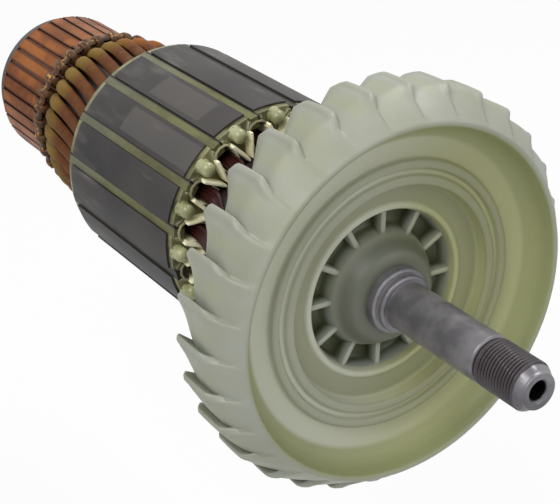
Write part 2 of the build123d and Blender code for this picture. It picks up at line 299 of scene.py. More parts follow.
core_rear, core_front, core_radius = node_span("lamination_stack")
bar_rear, bar_front, _ = node_span("commutator_bar_01")
shaft_rear, shaft_tip, _ = node_span("shaft")
fan_rear = node_span("cooling_fan")[0]
print("core from", round(core_rear, 1), "to", round(core_front, 1), "radius", round(core_radius, 1))

# %% [markdown]
# The fan is moulded from glass-filled nylon with a grey-green cast. It lets light through, so thin
# walls look pale and the deep dish looks olive. A translucent shader would be slow and would change
# with the light, so that light is painted into the tint by place on the moulding instead: pale on the
# rim and the blades, olive on the dish's wall, greyer on the hub. Shade is painted as well: darker olive
# deep in the pockets, darker on the hub beside the shaft, and a soft olive patch behind each blade. One
# side of the dish and its rings is painted paler, as if lit, and the rest greener, as painted shade.

# %% Finish of the fan
# Radii in mm between which a zone of the fan lies or fades out.
HUB_FOOT = (10.8, 13.6)
POCKETS = (12.0, 16.9)
FLAT_RING = (19.0, 23.2)
RAISED_RINGS = (23.6, 29.2)
DISH_WALL = (33.4, 37.4)
DISH_EDGE = (35.8, 37.1)
PETALS = (38.8, 43.2)
# The same along the shaft.
BLADES_ALONG = (-16, -4)
HUB_FRONT = (-11.5, -8.0)
POCKET_DEPTH = (-11.4, -8.6)
PLATE_FRONT = (-9.0, -8.0)
FLAT_FACE = (-8.2, -6.9)
RING_CRESTS = (-5.2, -4.2)
# Angles in degrees: the middle of the side painted paler as if lit, how it fades into the greener
# painted shade, and the gap behind a blade, where shade is painted.
LIT_SIDE_MIDDLE = 85
LIT_SIDE_FADE = (60, 125)
GAP_MIDDLE = 7.5
GAP_FADE = (0.8, 3.4)


def fan_finish():
    nylon = Finish("moulded_nylon")
    x, radius, angle = nylon.place()
    blotch = nylon.noise(60, detail=4)
    fine = nylon.noise(900, detail=2)
    clouds = nylon.noise(22, detail=2)
    # Painted light and shade: one side of the dish and its rings is paler, as if lit, the rest greener, as
    # shade.
    side = (angle - LIT_SIDE_MIDDLE).wrap(-180, 180).size().rise(*LIT_SIDE_FADE)
    front = x.rise(*PLATE_FRONT)
    # Painted shade: a soft olive patch in the gap behind each blade, among the petals.
    gap = (angle - BLADE_START - GAP_MIDDLE).wrap(-BLADE_STEP / 2, BLADE_STEP / 2).size()
    shade_behind_blade = 1 - gap.rise(*GAP_FADE)
    shade_behind_blade = shade_behind_blade * radius.band(*PETALS, 0.6) * x.band(*BLADES_ALONG, 1.5)
    dish = nylon.mix(side, linear(182, 184, 165), linear(156, 158, 114))
    rings = nylon.mix(side, linear(138, 140, 120), linear(124, 126, 96))
    pale, warm, cool = linear(146, 149, 136), linear(138, 140, 121), linear(152, 158, 152)
    base = nylon.paint(
        pale,
        (blotch.rise(0.35, 0.7), warm),
        (clouds.rise(0.5, 0.7) * 0.6, cool),
        ((1 - radius.rise(*DISH_EDGE)) * front, dish),
        (radius.band(*DISH_WALL, 0.6) * front * 0.85, linear(136, 140, 92)),
        (radius.band(*FLAT_RING, 0.4) * x.band(*FLAT_FACE, 0.3) * 0.7, linear(116, 119, 84)),
        (shade_behind_blade * 0.5, linear(144, 146, 116)),
        (radius.band(*RAISED_RINGS, 0.5) * x.rise(*RING_CRESTS) * 0.8, rings),
        # Painted shade: darker olive deep in the pockets.
        (radius.band(*POCKETS, 0.5) * (1 - x.rise(*POCKET_DEPTH)), linear(74, 80, 52)),
        # Painted shade darkens the hub's front beside the shaft, over its own greyer tone.
        ((1 - radius.rise(*HUB_FOOT)) * x.rise(*HUB_FRONT) * 0.9, linear(76, 80, 67)),
    )
    nylon.wear(base_color=base, roughness=0.36 + blotch * 0.16)
    nylon.bump(fine * 0.6 + blotch * 0.4, 0.06)
    return nylon.material


fan_material = fan_finish()
print("fan finish", fan_material.name)

# %% [markdown]
# The core is a stack of thin steel sheets under a coat of clear varnish. Its outside is ground, so it
# is dark, with paler scuffs where it was handled, and two of its teeth carry a paler rectangle that
# was rubbed clean. The sheets show as very fine rings, which are bump and not shape, because they are
# far finer than a pixel.

# %% Finish of the core
SHEET = 0.5
# The paler rectangles: half their width in degrees, and their two ends, the front one by tooth.
PALE_HALF = (6.4, 6.8)
PALE_REAR = -78.2
PALE_FRONT = {1: -56.8, 2: -48.2}
SLOT_EDGE = (0.9, 0.2)


def core_finish():
    steel = Finish("varnished_laminations", metallic=0.25, specular_ior_level=0.3)
    x, radius, angle = steel.place()
    clouds = steel.noise(48, detail=5, stretch=(0.7, 1, 1))
    scuffs = steel.noise(260, detail=3, stretch=(0.25, 1, 1))
    dark, mid, light = linear(46, 44, 45), linear(66, 63, 61), linear(93, 89, 83)
    rust, worn, rubbed, slot_shade = (
        linear(84, 74, 58), linear(104, 103, 100), linear(94, 91, 88), linear(38, 34, 28)
    )
    rear_band = 1 - x.rise(core_rear + 8, core_rear + 20)
    base = steel.paint(
        dark,
        (clouds.rise(0.3, 0.62), mid),
        (scuffs.rise(0.6, 0.78) * 0.7, light),
        (clouds.rise(0.62, 0.8) * 0.25, rust),
        (rear_band * scuffs.rise(0.45, 0.7) * 0.45, worn),
    )
    for tooth, pale_front in PALE_FRONT.items():
        turn = (angle - SLOT_START - (tooth - 0.5) * SLOT_STEP).size()
        pale = (1 - turn.rise(*PALE_HALF)) * x.band(PALE_REAR, pale_front, 0.2)
        base = steel.paint(base, (pale * 0.5, rubbed))
    # Painted shade: the core is darkened just inside the slots' mouths, where shadow falls.
    slot_shade_share = 1 - radius.rise(*(core_radius - depth for depth in SLOT_EDGE))
    steel.wear(base_color=steel.paint(base, (slot_shade_share * 0.8, slot_shade)), roughness=0.4 + clouds * 0.25)
    sheets = (x * (2 * pi / SHEET)).math("SINE")
    steel.bump(sheets * 0.12 + scuffs * 0.3, 0.03)
    return steel.material


core_material = core_finish()
print("core finish", core_material.name)

# %% [markdown]
# Everything at the ends of the core has soaked up amber resin: the cream plastic plates, the paper in
# the slots and the strips that close them. One recipe with other colours serves the plates and the
# paper: a clean colour, a soaked one and grime in specks.


# %% Finishes of plates and paper
def resin_coated(name, gloss, clean, soaked, grime):
    """Pale plastic or paper under patchy amber resin."""
    resin = Finish(name, coat_weight=0.3, coat_roughness=0.15)
    patches = resin.noise(150, detail=4)
    specks = resin.noise(700, detail=2)
    base = resin.paint(
        linear(*clean),
        (patches.rise(0.38, 0.62), linear(*soaked)),
        (specks.rise(0.62, 0.75) * 0.6, linear(*grime)),
    )
    resin.wear(base_color=base, roughness=gloss + (patches - 0.5) * 0.2)
    resin.bump(patches * 0.7 + specks * 0.3, 0.12)
    return resin.material


plate_material = resin_coated("resin_coated_plate", 0.45, (128, 126, 88), (88, 86, 56), (56, 50, 32))
paper_material = resin_coated("resin_coated_paper", 0.5, (253, 249, 214), (246, 239, 198), (206, 194, 146))
stud_material = resin_coated("resin_coated_knob", 0.3, (164, 166, 124), (130, 132, 88), (96, 94, 60))
arch_material = resin_coated("resin_coated_arch", 0.45, (150, 144, 112), (114, 108, 78), (74, 68, 46))
print("plates, paper, studs and arches have their finish")

# %% [markdown]
# The strip that closes a slot lies against one side of it, and the shade in the narrow gap on the
# other side is painted as a dark line. Two of the strips are painted black as shade: one slot's mouth
# is seen from aside, down its dark wall, and the other is turned away from the light.

# %% Finish of the slots' strips
SHADED_STRIPS = (-9.3, 103.2)
STRIP_HALF = (4.5, 5.5)
SHADED_GAP = (-0.85, -0.55)


def wedge_finish():
    strip = Finish("slot_strips", specular_ior_level=0.3)
    x, radius, angle = strip.place()
    patches = strip.noise(180, detail=4, stretch=(0.4, 1, 1))
    aside = (angle - SLOT_START).wrap(-SLOT_STEP / 2, SLOT_STEP / 2) * radius * (pi / 180)
    # Painted shade: the two strips whose mouths lie in shadow are painted nearly black.
    first, second = ((angle - middle).size().rise(*STRIP_HALF) for middle in SHADED_STRIPS)
    base = strip.paint(
        linear(106, 108, 68),
        (patches.rise(0.35, 0.65), linear(84, 82, 52)),
        (patches.rise(0.6, 0.75) * 0.6, linear(84, 74, 44)),
        ((1 - x.rise(core_rear + 5, core_rear + 25)) * 0.5, linear(104, 104, 92)),
        ((1 - first.math("MINIMUM", second)) * 0.9, linear(30, 28, 25)),
        # Painted shade: the narrow gap on the open side of each strip is painted as a dark line.
        (1 - aside.rise(*SHADED_GAP), linear(26, 24, 20)),
    )
    strip.wear(base_color=base, roughness=0.35 + patches * 0.2)
    strip.bump(patches, 0.15)
    return strip.material


wedge_material = wedge_finish()
print("strip finish", wedge_material.name)

# %% [markdown]
# The wire is copper under red-brown enamel, and the whole winding was dipped in resin. The shader is
# glossy where the resin is whole and dull in its specks, and its colour drifts between enamel, resin
# and the shadow between the wires.


# %% Finishes of the wire
def wire_finish(name, enamel, resin, shadow):
    wire = Finish(name, specular_ior_level=0.3)
    patches = wire.noise(120, detail=4)
    specks = wire.noise(500, detail=3)
    base = wire.paint(
        linear(*enamel),
        (patches.rise(0.4, 0.62), linear(*resin)),
        (specks.rise(0.58, 0.72) * 0.7, linear(*shadow)),
    )
    wire.wear(base_color=base, roughness=0.32 + specks * 0.3)
    wire.bump(specks, 0.08)
    return wire.material


wire_material = wire_finish("enamelled_wire", (50, 17, 15), (36, 18, 13), (11, 7, 7))
soaked_material = wire_finish("winding_under_resin", (24, 10, 9), (32, 17, 12), (10, 7, 6))
print("wire finishes", wire_material.name, soaked_material.name)

# %% [markdown]
# The leads to the commutator are the thickest with resin: olive on their crests, and on one side amber,
# painted as light coming through the resin. Their shade is painted too: brown down between them and
# nearly black where they dive under the tangs or into the core. The tangs are brown pressed copper,
# with small bright spots painted on their tops as glints of light.

# %% Finishes of the leads and tangs
# Where painted light and shade lie on the leads: the amber lit side, the shade down between the leads,
# under the tangs and towards the core, and where that shade eases off at the core.
AMBER_SIDE = -42
AMBER_FADE = (22, 58)
SHADE_BETWEEN_LEADS = (18.6, 20.6)
SHADE_UNDER_TANGS = (-122.4, -119.8)
SHADE_TOWARDS_CORE = (-117.5, -111.0)
AT_CORE = (-101.0, -97.5)
# Radii of the tangs' tops, where glints of light are painted.
GLINT_TOPS = (20.2, 20.8)


def lead_finish():
    lead = Finish("resin_soaked_leads", specular_ior_level=0.12)
    x, radius, angle = lead.place()
    patches = lead.noise(110, detail=4)
    specks = lead.noise(420, detail=3)
    height = radius + (specks - 0.5) * 1.6
    lit_side = 1 - (angle - AMBER_SIDE).size().rise(*AMBER_FADE)
    shade_near_core = x.rise(*SHADE_TOWARDS_CORE) * (0.6 + specks * 0.7)
    base = lead.paint(
        linear(122, 98, 44),
        (patches.rise(0.45, 0.66) * 0.6, linear(92, 66, 34)),
        # Painted light: amber on the lit side. Painted shade: brown between the leads, nearly black under
        # the tangs, brown towards the core.
        (lit_side * (0.4 + patches), linear(150, 86, 34)),
        (1 - height.rise(*SHADE_BETWEEN_LEADS), linear(82, 48, 24)),
        ((1 - x.rise(*SHADE_UNDER_TANGS)) * 0.85, linear(48, 35, 22)),
        (shade_near_core * (1 - x.rise(*AT_CORE) * 0.5), linear(92, 52, 26)),
    )
    lead.wear(base_color=base, roughness=0.45 + specks * 0.3)
    lead.bump(specks * 0.6 + patches * 0.4, 0.15)
    return lead.material


def tang_finish():
    tang = Finish("pressed_tangs", specular_ior_level=0.25)
    x, radius, angle = tang.place()
    patches = tang.noise(240, detail=3)
    specks = tang.noise(620, detail=1)
    base = tang.paint(
        linear(54, 34, 18),
        (patches.rise(0.35, 0.65), linear(82, 54, 28)),
        # Painted highlight: small golden glints on the tangs' tops.
        (specks.rise(0.56, 0.66) * radius.rise(*GLINT_TOPS), linear(196, 150, 78)),
    )
    tang.wear(base_color=base, roughness=0.25 + patches * 0.3)
    tang.bump(patches, 0.1)
    return tang.material


lead_material = lead_finish()
tang_material = tang_finish()
print("lead and tang finishes", lead_material.name, tang_material.name)

# %% [markdown]
# The commutator's bars are hard copper, turned true after they were moulded in, so fine rings run
# round them. They tarnish brown, most of all on the risers. Along their edges and down in the gaps
# between them the shade is painted dark brown. Between the bars the black moulding has caught copper dust.

# %% Finishes of the commutator
RISER_FOOT = (-131.6, -130.8)
RISER_GAP = (18.1, 18.6)
BAR_EDGE_SHADE = (0.85, 1.45)
DUSTY_ABOVE = (17.0, 17.6)


def copper_finish():
    copper = Finish("turned_copper", metallic=0.7, specular_ior_level=0.2)
    x, radius, angle = copper.place()
    rings = copper.noise(2500, detail=2, stretch=(1, 0.02, 0.02))
    tarnish = copper.noise(130, detail=4)
    bar = copper.noise(90, detail=1, stretch=(0.05, 1, 1))
    aside = (angle - BAR_START).wrap(-BAR_STEP / 2, BAR_STEP / 2) * radius * (pi / 180)
    # Painted shade: dark brown along each bar's edges and down in the gaps between the bars.
    edge = aside.size().rise(*BAR_EDGE_SHADE).math("MAXIMUM", 1 - radius.rise(*RISER_GAP))
    base = copper.paint(
        linear(158, 92, 36),
        (tarnish.rise(0.35, 0.68), linear(110, 57, 19)),
        (bar.rise(0.4, 0.7) * 0.4, linear(148, 90, 38)),
        (x.rise(*RISER_FOOT) * (0.45 + tarnish * 0.5), linear(112, 80, 44)),
        (edge * 0.9, linear(80, 43, 23)),
    )
    copper.wear(base_color=base, roughness=0.33 + tarnish * 0.22)
    copper.bump(rings, 0.02)
    return copper.material


def moulding_finish():
    moulding = Finish("commutator_moulding", roughness=0.5)
    x, radius, angle = moulding.place()
    dust = moulding.noise(400, detail=3)
    copper_dust = x.band(bar_rear + 0.1, bar_front, 0.2) * radius.rise(*DUSTY_ABOVE)
    base = moulding.paint(
        linear(36, 33, 33),
        (dust.rise(0.45, 0.7), linear(48, 44, 43)),
        (copper_dust, linear(104, 56, 32)),
    )
    moulding.wear(base_color=base)
    moulding.bump(dust, 0.05)
    return moulding.material


copper_material = copper_finish()
moulding_material = moulding_finish()
print("commutator finishes", copper_material.name, moulding_material.name)

# %% [markdown]
# The shaft is turned and ground steel, so its marks run round it. Its thread is painted darker as
# shade, most of all down in the grooves, and the centre hole is painted nearly black inside as shade.
# There are small dark specks on the ground seat. The sleeve behind the fan is plain black plastic.

# %% Finishes of the shaft and its sleeve
SHADED_THREAD = (25.8, 36.8)
THREAD_FLANK = (4.45, 4.85)
CENTRE_HOLE = (1.9, 2.2)
HOLE_BOTTOM = (30.0, 31.0)


def shaft_finish():
    steel = Finish("ground_steel", metallic=0.45, specular_ior_level=0.4)
    x, radius, angle = steel.place()
    rings = steel.noise(3000, detail=2, stretch=(1, 0.03, 0.03))
    stains = steel.noise(160, detail=4)
    specks = steel.noise(900, detail=2)
    thread = x.band(*SHADED_THREAD, 0.2)
    base = steel.paint(
        linear(126, 124, 128),
        (stains.rise(0.35, 0.7), linear(92, 90, 94)),
        (specks.rise(0.68, 0.78) * 0.7, linear(58, 54, 54)),
        # Painted shade: the thread is darker, and darker still down in its grooves.
        (thread * 0.85, linear(72, 66, 69)),
        (thread * (1.3 - radius.rise(*THREAD_FLANK)) * 0.7, linear(44, 38, 39)),
        # Painted shade: nearly black inside the centre hole.
        ((1 - radius.rise(*CENTRE_HOLE)) * x.rise(*HOLE_BOTTOM), linear(20, 19, 20)),
    )
    steel.wear(base_color=base, roughness=0.24 + stains * 0.16)
    steel.bump(rings, 0.015)
    return steel.material


def sleeve_finish():
    plastic = Finish("black_sleeve", roughness=0.5)
    grain = plastic.noise(600, detail=3)
    plastic.wear(base_color=plastic.mix(grain, linear(34, 33, 34), linear(52, 50, 50)))
    plastic.bump(grain, 0.05)
    return plastic.material


shaft_material = shaft_finish()
sleeve_material = sleeve_finish()
print("shaft finishes", shaft_material.name, sleeve_material.name)

# %% [markdown]
# The packed pieces whose shape is already right keep it and only get their finish. The slots' strips
# and the commutator's bars are many pieces with one finish each.

# %% Dress the packed pieces
DRESS = {
    "slot_wedge": wedge_material,
    "commutator_bar": copper_material,
    "lamination_stack": core_material,
    "front_end_insulator": plate_material,
    "rear_end_insulator": plate_material,
    "slot_liners": paper_material,
    "winding": soaked_material,
    "commutator_moulding": moulding_material,
    "shaft": shaft_material,
    "shaft_insulation_sleeve": sleeve_material,
    "cooling_fan": fan_material,
}
for name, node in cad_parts.items():
    node.data.materials.clear()
    node.data.materials.append(DRESS[name.rstrip("_0123456789")])
print("dressed", len(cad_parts), "packed pieces")

# %% [markdown]
# Most pieces are made of loops of points that are joined into a skin, as a boat is planked over its
# frames. One function does that for every piece: it closes the ends, merges what coincides, turns the
# faces outwards and marks the edges that stay sharp.


# %% Skins
def tidy_mesh(mesh, sharp_above=40.0):
    """Merges doubles, turns faces outwards and shades smoothly up to an angle in degrees."""
    work = bmesh.new()
    work.from_mesh(mesh)
    bmesh.ops.remove_doubles(work, verts=work.verts, dist=1e-7)
    bmesh.ops.dissolve_degenerate(work, edges=work.edges, dist=1e-8)
    bmesh.ops.recalc_face_normals(work, faces=work.faces)
    for face in work.faces:
        face.smooth = True
    work.to_mesh(mesh)
    work.free()
    mesh.set_sharp_from_angle(angle=radians(sharp_above))
    return mesh


def skin(name, loops, closed=False, sharp_above=40.0):
    """A mesh through loops of points that all have the same count."""
    count = len(loops[0])
    points = [point for loop in loops for point in loop]
    faces = []
    for row in range(len(loops) if closed else len(loops) - 1):
        start, following = row * count, (row + 1) % len(loops) * count
        for column in range(count):
            right = (column + 1) % count
            faces.append((start + column, start + right, following + right, following + column))
    if not closed:
        faces.append(tuple(range(count)))
        faces.append(tuple(range((len(loops) - 1) * count, len(loops) * count)))
    mesh = bpy.data.meshes.new(name)
    mesh.from_pydata(points, [], faces)
    return tidy_mesh(mesh, sharp_above)


def joined(name, meshes):
    """One mesh from several."""
    work = bmesh.new()
    for mesh in meshes:
        work.from_mesh(mesh)
    whole = bpy.data.meshes.new(name)
    work.to_mesh(whole)
    work.free()
    return tidy_mesh(whole)


print("skins ready")

# %% [markdown]
# Moulded and turned pieces have no knife edges. Their sections are drawn as corners of (place along
# the shaft, radius, ease), and each corner is then rounded with a short curve as long as its ease.


# %% Sections with eased corners
def eased(outline, steps=3):
    """An outline of (x, radius, ease) corners with each corner rounded by its ease."""
    rounded = []
    for index, (x, radius, ease) in enumerate(outline):
        corner = Vector((x, radius))
        if ease == 0:
            rounded.append(corner)
            continue
        before = Vector(outline[index - 1][:2]) - corner
        after = Vector(outline[(index + 1) % len(outline)][:2]) - corner
        reach = min(ease, before.length * 0.48, after.length * 0.48)
        first = corner + before.normalized() * reach
        last = corner + after.normalized() * reach
        for step in range(steps + 1):
            share = step / steps
            rounded.append(
                first * (1 - share) ** 2 + corner * 2 * share * (1 - share) + last * share**2
            )
    return rounded


def turned_loops(outline, columns, rule):
    """Rings of points round the shaft; the rule gives each radius from (x, angle, drawn radius)."""
    angles = [360 * column / columns for column in range(columns)]
    return [[turned(x, rule(x, angle, radius), angle) for angle in angles] for x, radius in outline]


def ramp(value, low, high):
    """0 below low, 1 above high, smooth between."""
    share = min(max((value - low) / (high - low), 0.0), 1.0)
    return share * share * (3 - 2 * share)


def settle(name, mesh, nodes=()):
    """Puts a finished mesh in the scene as a piece that rides with the rotor."""
    piece = bpy.data.objects.new(name, mesh)
    bpy.context.scene.collection.objects.link(piece)
    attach(piece, "root")
    if nodes:
        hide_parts(*nodes)
    print(name, len(mesh.polygons), "faces")
    return piece


print("sections ready")

# %% [markdown]
# Blades, studs, wires and tangs repeat round the shaft. A Geometry Nodes tree sets a copy of the first
# one at each step, like the dividing head of a milling machine. It is given how many there are and
# where the first one stands. The last nodes make the copies real and give them their finish.


# %% How a tree starts, ends and is run
def begin_tree(name, **kinds):
    """A tree with named inputs, each a Geometry, Int, Float or Material, and one shape as output."""
    tree = bpy.data.node_groups.new(name, "GeometryNodeTree")
    for label, kind in kinds.items():
        label = label.replace("_", " ")
        tree.interface.new_socket(label, in_out="INPUT", socket_type="NodeSocket" + kind)
    tree.interface.new_socket("Shape", in_out="OUTPUT", socket_type="NodeSocketGeometry")
    graph = Graph(tree)
    return graph, graph.node("NodeGroupInput").outputs


def end_tree(graph, shape, finish):
    """Makes copies real, gives the shape its finish and hands it on."""
    real = graph.node("GeometryNodeRealizeInstances", inputs={0: shape.outputs[0]})
    finished = graph.node(
        "GeometryNodeSetMaterial", inputs={"Geometry": real.outputs[0], "Material": finish}
    )
    graph.node("NodeGroupOutput", inputs={0: finished.outputs[0]})
    return graph.tree


def run_tree(name, tree, mesh, **inputs):
    """The plain mesh that a tree makes of a mesh, with the tree's inputs set by name."""
    worker = bpy.data.objects.new(name, mesh)
    bpy.context.scene.collection.objects.link(worker)
    modifier = worker.modifiers.new("tree", "NODES")
    modifier.node_group = tree
    for item in tree.interface.items_tree:
        label = item.name.lower().replace(" ", "_")
        if item.in_out == "INPUT" and label in inputs:
            modifier[item.identifier] = inputs[label]
    seen = worker.evaluated_get(bpy.context.evaluated_depsgraph_get())
    made = bpy.data.meshes.new_from_object(seen)
    made.name = name
    worker.modifiers.clear()
    bpy.data.objects.remove(worker)
    return made


print("trees can be built and run")

# %% [markdown]
# The dividing head itself has one point for each copy. Its index times the step, and the first angle,
# give the turn about the shaft, and the shape is set on each point with that turn.


# %% A tree that repeats a shape round the shaft
def dividing_head():
    graph, given = begin_tree(
        "dividing_head", Shape="Geometry", Count="Int", First_angle="Float", Finish="Material"
    )
    places = graph.node("GeometryNodePoints", inputs={"Count": given["Count"]})
    index = Number(graph, graph.node("GeometryNodeInputIndex").outputs[0])
    step = Number(graph, given["Count"]).math("POWER", -1.0) * 360
    angle = (index * step + Number(graph, given["First angle"])) * (pi / 180)
    turn = graph.node("ShaderNodeCombineXYZ", inputs={"X": angle})
    rotation = graph.node("FunctionNodeEulerToRotation", inputs={0: turn.outputs[0]})
    links = {
        "Points": places.outputs[0], "Instance": given["Shape"], "Rotation": rotation.outputs[0]
    }
    copies = graph.node("GeometryNodeInstanceOnPoints", inputs=links)
    return end_tree(graph, copies, given["Finish"])


dividing = dividing_head()


def ring_of(name, mesh, count, first_angle, material, nodes=(), sharp_above=40.0):
    """A piece made of copies of a mesh round the shaft."""
    made = run_tree(name, dividing, mesh, count=count, first_angle=first_angle, finish=material)
    return settle(name, tidy_mesh(made, sharp_above), nodes)


print("dividing head with", len(dividing.nodes), "nodes")

# %% [markdown]
# The fan's plate is turned in section but toothed at its edge, like a circular saw. Its shape follows
# a rule, so a tree makes it: each point of the section is swung round the shaft, and beyond the rim
# its radius grows and shrinks once for every blade. The section is the only thing given point by point.
# It runs round the plate from the hub's rear, and its corners are eased as a mould's are.

# %% Section of the fan's plate
BORE_RADIUS = 7.02
fan_section = eased([
    (fan_rear, BORE_RADIUS, 0),
    (fan_rear, 10.3, 0.8),
    (-13.9, 11.2, 1.0),
    (-13.7, 16.6, 1.0),
    (-7.3, 26.0, 2.0),
    (-7.3, 31.2, 2.0),
    (-3.9, 37.0, 2.0),
    (-6.4, 41.2, 0.8),
    (-5.2, 42.2, 0.8),
    (-3.7, 41.6, 1.6),
    (1.2, 38.1, 0.6),
    (1.2, 37.1, 0.5),
    (-2.0, 36.3, 1.5),
    (-4.3, 34.4, 2.5),
    (-5.4, 31.2, 1.5),
    (-5.4, 29.1, 0.4),
    (-4.0, 28.7, 0.8),
    (-4.0, 27.1, 0.8),
    (-5.1, 26.6, 0.4),
    (-5.1, 25.9, 0.4),
    (-4.0, 25.4, 0.8),
    (-4.0, 23.7, 0.5),
    (-7.2, 23.3, 0.8),
    (-7.6, 19.2, 0.8),
    (-7.1, 18.6, 0.6),
    (-7.1, 17.7, 0.6),
    (-8.6, 17.1, 0.7),
    (-11.8, 16.6, 0.8),
    (-11.8, 13.2, 1.2),
    (-8.4, 12.2, 2.4),
    (-4.4, 9.6, 1.8),
    (-3.9, 7.9, 0.6),
    (-3.9, BORE_RADIUS, 0),
])
section_mesh = bpy.data.meshes.new("fan_plate_section")
section_points = [(x * MM, 0, radius * MM) for x, radius in fan_section]
section_edges = [(i, i + 1) for i in range(len(section_points) - 1)]
section_mesh.from_pydata(section_points, section_edges, [])
print("fan section with", len(fan_section), "points")

# %% [markdown]
# The tree lays a grid of rows and columns: a row for each point of the section and a column for each
# place round the shaft. Where a point lies beyond the rim, what sticks out is scaled by a saw-tooth
# that falls slowly from one blade's tip and jumps up at the next.


# %% Turn the plate and cut its teeth
def toothed_turning():
    graph, given = begin_tree(
        "toothed_turning", Section="Geometry", Columns="Int", Teeth="Int", First_tip="Float",
        Rim_radius="Float", Tip_radius="Float", Valley_radius="Float", Finish="Material",
    )
    columns, teeth, first_tip, rim, tip, valley = (
        Number(graph, given[label])
        for label in ("Columns", "Teeth", "First tip", "Rim radius", "Tip radius", "Valley radius")
    )
    count = graph.node("GeometryNodeAttributeDomainSize", inputs={"Geometry": given["Section"]})
    points = Number(graph, count.outputs["Point Count"])
    grid = {"Vertices X": points + 1, "Vertices Y": columns + 1}
    sheet = graph.node("GeometryNodeMeshGrid", inputs=grid)
    index = Number(graph, graph.node("GeometryNodeInputIndex").outputs[0])
    row = (index / (columns + 1)).math("FLOOR")
    column = index - row * (columns + 1)
    drawn = {
        "Geometry": given["Section"],
        "Value": graph.node("GeometryNodeInputPosition").outputs[0],
        "Index": row.math("FLOORED_MODULO", points),
    }
    sample = graph.node("GeometryNodeSampleIndex", {"data_type": "FLOAT_VECTOR"}, drawn)
    parts = graph.node("ShaderNodeSeparateXYZ", inputs={0: sample.outputs[0]}).outputs
    x, radius = Number(graph, parts["X"]), Number(graph, parts["Z"])
    place = ((column / columns).math("FRACT") * teeth).math("FRACT")
    fall = (place * 12 / 11).math("MINIMUM", 1.0)
    growth = (tip - rim - (tip - valley) * fall) / (tip - rim)
    beyond = (radius - rim).math("MAXIMUM", 0.0)
    toothed = radius.math("MINIMUM", rim) + beyond * growth
    angle = (column / columns) * (2 * pi) + first_tip * (pi / 180)
    spot = {
        "X": x + beyond * (1 - growth) * 0.5,
        "Y": toothed * angle.math("SINE") * -1,
        "Z": toothed * (angle + pi / 2).math("SINE"),
    }
    position = graph.node("ShaderNodeCombineXYZ", inputs=spot).outputs[0]
    swung = {"Geometry": sheet.outputs["Mesh"], "Position": position}
    moved = graph.node("GeometryNodeSetPosition", inputs=swung)
    seam = {"Geometry": moved.outputs[0], "Distance": 1e-6}
    merged = graph.node("GeometryNodeMergeByDistance", inputs=seam)
    return end_tree(graph, merged, given["Finish"])


CORNER_ANGLE = 2.9
COLUMNS_PER_TOOTH = 12
plate_mesh = run_tree(
    "fan_plate",
    toothed_turning(),
    section_mesh,
    columns=COLUMNS_PER_TOOTH * BLADES,
    teeth=BLADES,
    first_tip=BLADE_START + CORNER_ANGLE,
    rim_radius=38.0 * MM,
    tip_radius=42.2 * MM,
    valley_radius=41.0 * MM,
    finish=fan_material,
)
settle("fan_plate", tidy_mesh(plate_mesh, 50), ["cooling_fan"])

# %% [markdown]
# Each blade is a flat strip that leans back from its tip. Towards the plate its outer side flares into
# a petal that reaches the next blade, and its heel ends inside the plate, so the two flow into each
# other. It is lofted through sections across the shaft, from the rounded rear edge to a root that is
# buried in the rim. What each section needs to know is read off three short tables.

# %% How a blade runs and what it meets
BLADE_HALF = 0.75
BLADE_REAR = -17.3
BLADE_TIP = across_shaft(43.8, 1.2)
BLADE_HEEL = across_shaft(29.8, 31.2)
blade_run = (BLADE_HEEL - BLADE_TIP).normalized()
blade_side = Vector((blade_run.y, -blade_run.x))

# Length of the strip, from its tip to its heel, by the place along the shaft.
HEEL = [(-7.0, 23.4), (-6.3, 19.8), (-4.9, 13.7), (-3.2, 10.6), (-2.0, 9.4), (0.6, 8.6)]
# Radius of the petal's edge, and how much lower the edge is where the next petal starts.
EDGE = [(-7.2, 43.6), (-6.4, 43.42), (-5.6, 43.02), (-4.8, 42.55), (-4.0, 42.02), (-3.0, 41.33),
        (-2.0, 40.6), (-1.0, 39.82), (0.0, 38.98), (0.6, 38.42)]
STEP = [(-7.2, 1.9), (-6.0, 1.6), (-4.0, 1.15), (-2.0, 0.7), (0.0, 0.28), (0.6, 0.15)]


def between(x, table):
    """A value read off a table of (x, value), straight between its rows."""
    if x <= table[0][0]:
        return table[0][1]
    for (low, first), (high, last) in zip(table, table[1:]):
        if x <= high:
            return first + (last - first) * (x - low) / (high - low)
    return table[-1][1]


print("a blade is", round((BLADE_HEEL - BLADE_TIP).length, 1), "mm long at the plate")

# %% [markdown]
# Every point of a section has two places: one on the plain strip and one on the petal, in the plate's
# rim. At the rear edge the strip counts almost alone. The outer side goes over to the petal first, and the
# tip and the heel follow when the plate is near.

# %% Section of a blade at one place
TIP_STEPS, OUTER_STEPS, HEEL_STEPS, INNER_STEPS = 8, 10, 6, 16
PETAL_SPAN = 12.2
PETAL_WALL = 1.2
PETAL_FLOOR = 37.5
CORNER_TURN = 0.5
OUTER_REACH = 11.0
# The tip's rear corner is cut back and its rear edge thinned; the heel is cut off aslant.
TIP_CUT, TIP_LEAN, HEEL_CUT, HEEL_CUT_RUN = 2.6, 0.35, 8.2, 4.0
EDGE_THIN, EDGE_RUN = 0.45, 0.9


